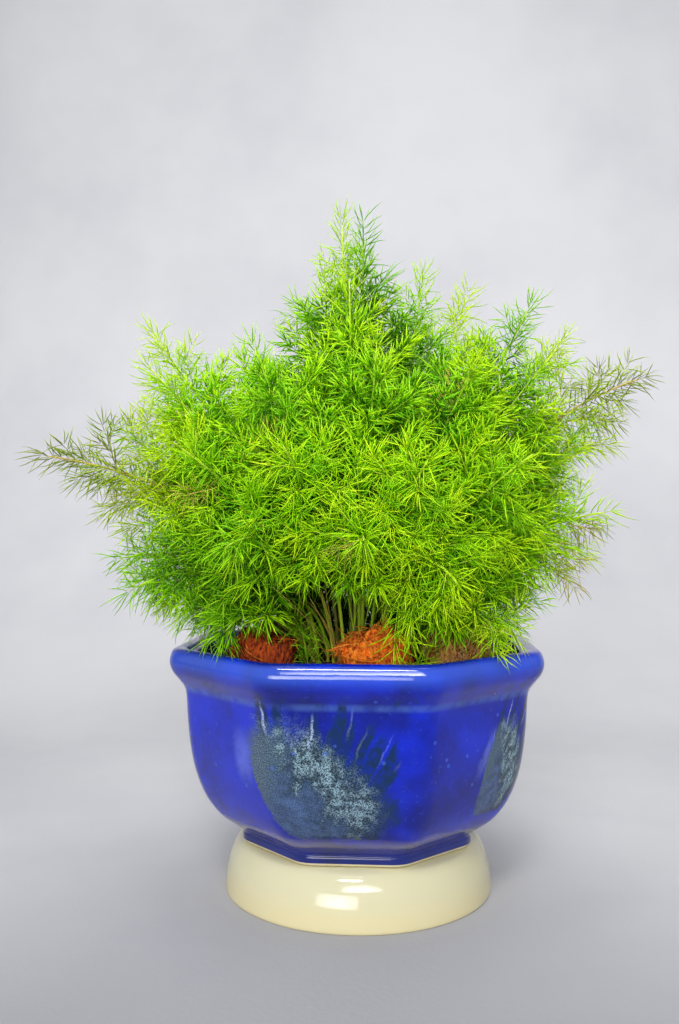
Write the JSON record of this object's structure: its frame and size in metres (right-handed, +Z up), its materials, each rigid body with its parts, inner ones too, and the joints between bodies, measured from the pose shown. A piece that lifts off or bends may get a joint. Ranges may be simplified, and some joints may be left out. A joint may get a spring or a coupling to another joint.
{
  "type": "potted asparagus fern",
  "caption": "Asparagus fern with feathery fronds of fine needles, growing in an octagonal glazed pot that rests on a round glazed stand.",
  "frame": {"origin": "on the floor at the pot's vertical axis, which is the middle of the plant's box", "axes": "+Z up; -Y is the front, square to one flat side of the pot; +X is the viewer's right"},
  "size_m": [0.3204, 0.2385, 0.3524],
  "materials": {
    "cream_glaze": "glossy cream glaze on stoneware",
    "cobalt_glaze": "glossy cobalt blue glaze with a speckled reactive splash, on stoneware",
    "soil": "dark moist potting mix",
    "coir_husk": "fibrous coconut husk",
    "fern_green": "soft satin, slightly translucent needles on wiry green stems"
  },
  "bodies": {
    "root": {"stand": "cream_glaze", "pot": "cobalt_glaze", "soil": "soil", "coir_chip_front": "coir_husk", "coir_chip_left": "coir_husk", "coir_chip_right": "coir_husk", "coir_chip_back_right": "coir_husk", "coir_chip_back_left": "coir_husk", "frond_peak": "fern_green", "frond_peak_behind": "fern_green", "frond_peak_left": "fern_green", "frond_top_right": "fern_green", "frond_top_right_behind": "fern_green", "frond_top_middle": "fern_green", "frond_right_shoulder": "fern_green", "frond_far_right": "fern_green", "frond_right_upper": "fern_green", "frond_right_low": "fern_green", "frond_right_lower": "fern_green", "frond_right_bottom": "fern_green", "frond_right_rim": "fern_green", "frond_left_shoulder": "fern_green", "frond_left_upper": "fern_green", "frond_far_left": "fern_green", "frond_left_middle": "fern_green", "frond_left_low": "fern_green", "frond_left_lower": "fern_green", "frond_left_bottom": "fern_green", "frond_left_rim": "fern_green", "frond_front_right": "fern_green", "frond_front_centre": "fern_green", "frond_front_left": "fern_green", "frond_top_left": "fern_green", "frond_face_left": "fern_green", "frond_face_right": "fern_green", "frond_side_right": "fern_green", "frond_side_left": "fern_green", "frond_brow_left": "fern_green", "frond_brow_middle": "fern_green", "frond_brow_right": "fern_green", "frond_crown_front": "fern_green", "frond_back_centre": "fern_green", "frond_back_right": "fern_green", "frond_back_left": "fern_green", "frond_back_right_upper": "fern_green", "frond_back_left_upper": "fern_green", "frond_back_crown_right": "fern_green", "frond_back_crown_left": "fern_green", "frond_back_right_low": "fern_green", "frond_back_left_low": "fern_green"}
  },
  "joints": []
}
